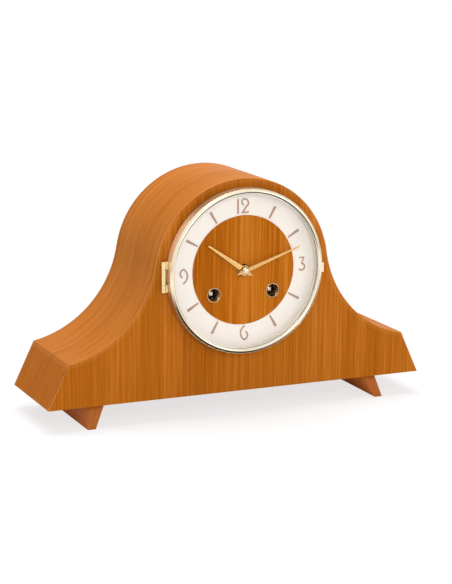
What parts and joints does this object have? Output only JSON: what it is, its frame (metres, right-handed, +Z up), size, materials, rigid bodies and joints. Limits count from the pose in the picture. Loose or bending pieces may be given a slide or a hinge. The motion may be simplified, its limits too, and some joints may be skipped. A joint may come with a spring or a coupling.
{
  "type": "table clock",
  "caption": "Table clock with an arched wooden case on runner feet, hinged glass bezel over a round dial, back door, and a spring movement that strikes the hours on gong rods.",
  "frame": {"origin": "middle of the clock's box, on the surface that the feet stand on", "axes": "+X to the right seen from the front, +Y from the dial towards the back, +Z up"},
  "size_m": [0.382, 0.1166, 0.2244],
  "materials": {
    "cherry_veneer": "satin lacquered veneer",
    "foot_wood": "satin lacquered hardwood",
    "back_wood": "plain stained board",
    "bezel_brass": "polished and lacquered",
    "hinge_brass": "satin",
    "dial_cream": "satin cream paint",
    "dial_wood": "thin lacquered veneer",
    "marker_copper": "satin bronze",
    "eyelet_metal": "polished",
    "hand_gilt": "polished gilt",
    "clear_glass": "clear domed glass",
    "movement_brass": "machined",
    "movement_steel": "turned bright",
    "spring_steel": "blued",
    "gong_iron": "black paint",
    "gong_bronze": "drawn rod"
  },
  "bodies": {
    "case": {"front_board": "cherry_veneer", "case_shell": "cherry_veneer", "end_left": "cherry_veneer", "end_right": "cherry_veneer", "base_board": "cherry_veneer", "foot_left": "foot_wood", "foot_right": "foot_wood", "back_panel": "back_wood", "door_hinge_fixed": "hinge_brass", "base_ring": "bezel_brass", "dial_plate": "dial_cream", "dial_centre": "dial_wood", "hour_markers": "marker_copper", "winding_eyelets": "eyelet_metal", "bezel_hinge_base": "hinge_brass", "bezel_hinge_pin": "hinge_brass", "front_plate": "movement_brass", "back_plate": "movement_brass", "plate_pillars": "movement_steel", "pillar_nuts": "movement_steel", "movement_posts": "movement_brass", "movement_screws": "movement_steel", "escapement_bridge": "movement_brass", "gong_block": "gong_iron", "gong_rods": "gong_bronze"},
    "door": {"back_door": "back_wood", "door_knob": "hinge_brass", "door_hinge_swinging": "hinge_brass"},
    "bezel": {"bezel_ring": "bezel_brass", "bezel_glass": "clear_glass", "glass_retainer": "bezel_brass", "bezel_hinge_knuckle": "hinge_brass", "bezel_tab": "bezel_brass"},
    "minute_group": {"minute_hand": "hand_gilt", "hand_nut": "hand_gilt", "cannon_pinion": "movement_brass"},
    "hour_group": {"hour_hand": "hand_gilt", "hour_wheel": "movement_brass"},
    "minute_gear": {"minute_wheel": "movement_brass"},
    "escape": {"escape_wheel": "movement_brass"},
    "fourth": {"fourth_wheel": "movement_brass"},
    "third": {"third_wheel": "movement_brass"},
    "centre": {"centre_wheel": "movement_brass"},
    "intermediate": {"intermediate_wheel": "movement_brass"},
    "going_drum": {"going_barrel": "movement_brass"},
    "going_key": {"going_arbor": "movement_steel"},
    "going_pawl": {"going_click": "movement_steel"},
    "pallets": {"pallet_lever": "movement_steel"},
    "balance": {"balance_wheel": "movement_brass", "hairspring": "spring_steel"},
    "fly": {"strike_fly": "movement_brass"},
    "locking": {"locking_wheel": "movement_brass"},
    "strike_third": {"strike_third_wheel": "movement_brass"},
    "strike_second": {"strike_second_wheel": "movement_brass"},
    "count": {"count_wheel": "movement_brass"},
    "strike_drum": {"strike_barrel": "movement_brass"},
    "strike_key": {"strike_arbor": "movement_steel"},
    "strike_pawl": {"strike_click": "movement_steel"},
    "counting_lever": {"locking_lever": "movement_steel"},
    "striker": {"hammer": "movement_steel"}
  },
  "joints": [
    {"name": "bezel_open", "type": "hinge", "parent": "case", "child": "bezel", "pos_m": [-0.0815, -0.04472, 0.1382], "axis": [0, 0, -1], "range_deg": [0, 130]},
    {"name": "door_open", "type": "hinge", "parent": "case", "child": "door", "pos_m": [0.05975, 0.05433, 0.1172], "axis": [0, 0, -1], "range_deg": [0, 110]},
    {"name": "minute_spin", "type": "hinge", "parent": "case", "child": "minute_group", "pos_m": [0, -0.04022, 0.1382], "axis": [0, 1, 0], "continuous": true},
    {"name": "minute_gear_spin", "type": "hinge", "parent": "case", "child": "minute_gear", "pos_m": [-0.0099, -0.03122, 0.1481], "axis": [0, 1, 0], "continuous": true},
    {"name": "hour_spin", "type": "hinge", "parent": "case", "child": "hour_group", "pos_m": [0, -0.04022, 0.1382], "axis": [0, 1, 0], "continuous": true},
    {"name": "escape_spin", "type": "hinge", "parent": "case", "child": "escape", "pos_m": [0.01287, -0.01522, 0.16978], "axis": [0, 1, 0], "continuous": true},
    {"name": "fourth_spin", "type": "hinge", "parent": "case", "child": "fourth", "pos_m": [0.01697, -0.01522, 0.1585], "axis": [0, 1, 0], "continuous": true},
    {"name": "third_spin", "type": "hinge", "parent": "case", "child": "third", "pos_m": [0.00419, -0.01522, 0.15385], "axis": [0, 1, 0], "continuous": true},
    {"name": "centre_spin", "type": "hinge", "parent": "case", "child": "centre", "pos_m": [0, -0.01522, 0.1382], "axis": [0, 1, 0], "continuous": true},
    {"name": "intermediate_spin", "type": "hinge", "parent": "case", "child": "intermediate", "pos_m": [0.01731, -0.01522, 0.13564], "axis": [0, 1, 0], "continuous": true},
    {"name": "going_drum_spin", "type": "hinge", "parent": "case", "child": "going_drum", "pos_m": [0.03, -0.01522, 0.1167], "axis": [0, 1, 0], "continuous": true},
    {"name": "fly_spin", "type": "hinge", "parent": "case", "child": "fly", "pos_m": [-0.03134, -0.01522, 0.16895], "axis": [0, 1, 0], "continuous": true},
    {"name": "locking_spin", "type": "hinge", "parent": "case", "child": "locking", "pos_m": [-0.02055, -0.01522, 0.16895], "axis": [0, 1, 0], "continuous": true},
    {"name": "strike_third_spin", "type": "hinge", "parent": "case", "child": "strike_third", "pos_m": [-0.01811, -0.01522, 0.15517], "axis": [0, 1, 0], "continuous": true},
    {"name": "strike_second_spin", "type": "hinge", "parent": "case", "child": "strike_second", "pos_m": [-0.0241, -0.01522, 0.13872], "axis": [0, 1, 0], "continuous": true},
    {"name": "count_spin", "type": "hinge", "parent": "case", "child": "count", "pos_m": [-0.02985, 0.00378, 0.12294], "axis": [0, 1, 0], "continuous": true},
    {"name": "strike_drum_spin", "type": "hinge", "parent": "case", "child": "strike_drum", "pos_m": [-0.03, -0.01522, 0.1167], "axis": [0, 1, 0], "continuous": true},
    {"name": "going_winding", "type": "hinge", "parent": "case", "child": "going_key", "pos_m": [0.03, -0.03022, 0.1167], "axis": [0, 1, 0], "continuous": true},
    {"name": "strike_winding", "type": "hinge", "parent": "case", "child": "strike_key", "pos_m": [-0.03, -0.03022, 0.1167], "axis": [0, 1, 0], "continuous": true},
    {"name": "going_click_lift", "type": "hinge", "parent": "case", "child": "going_pawl", "pos_m": [0.039, -0.02922, 0.1287], "axis": [0, -1, 0], "range_deg": [0, 12], "stiffness_Nm_per_rad": 0.0003, "springref_deg": -17.19},
    {"name": "strike_click_lift", "type": "hinge", "parent": "case", "child": "strike_pawl", "pos_m": [-0.039, -0.02922, 0.1287], "axis": [0, 1, 0], "range_deg": [0, 12], "stiffness_Nm_per_rad": 0.0003, "springref_deg": -17.19},
    {"name": "pallet_rock", "type": "hinge", "parent": "case", "child": "pallets", "pos_m": [0.00187, 0.00478, 0.16978], "axis": [0, 1, 0], "range_deg": [-5, 5]},
    {"name": "balance_swing", "type": "hinge", "parent": "case", "child": "balance", "pos_m": [-0.01063, 0.00778, 0.16978], "axis": [0, 1, 0], "range_deg": [-140, 140], "stiffness_Nm_per_rad": 0.000016},
    {"name": "count_lever_lift", "type": "hinge", "parent": "case", "child": "counting_lever", "pos_m": [-0.04645, 0.00478, 0.13823], "axis": [0, -1, 0], "range_deg": [0, 8]},
    {"name": "hammer_lift", "type": "hinge", "parent": "case", "child": "striker", "pos_m": [0, 0.00478, 0.0957], "axis": [0, 1, 0], "range_deg": [0, 20], "stiffness_Nm_per_rad": 0.002, "springref_deg": -11.46}
  ],
  "couplings": [
    {"joint": "minute_gear_spin", "follows": "minute_spin", "ratio": -0.33333},
    {"joint": "hour_spin", "follows": "minute_spin", "ratio": 0.083333},
    {"joint": "fourth_spin", "follows": "escape_spin", "ratio": -0.14286},
    {"joint": "third_spin", "follows": "escape_spin", "ratio": 0.019048},
    {"joint": "centre_spin", "follows": "escape_spin", "ratio": -0.002381},
    {"joint": "intermediate_spin", "follows": "escape_spin", "ratio": 0.00039683},
    {"joint": "going_drum_spin", "follows": "escape_spin", "ratio": -0.000060125},
    {"joint": "locking_spin", "follows": "fly_spin", "ratio": -0.2},
    {"joint": "strike_third_spin", "follows": "fly_spin", "ratio": 0.033333},
    {"joint": "strike_second_spin", "follows": "fly_spin", "ratio": -0.0055556},
    {"joint": "count_spin", "follows": "fly_spin", "ratio": 0.00092593},
    {"joint": "strike_drum_spin", "follows": "fly_spin", "ratio": 0.00084175}
  ]
}
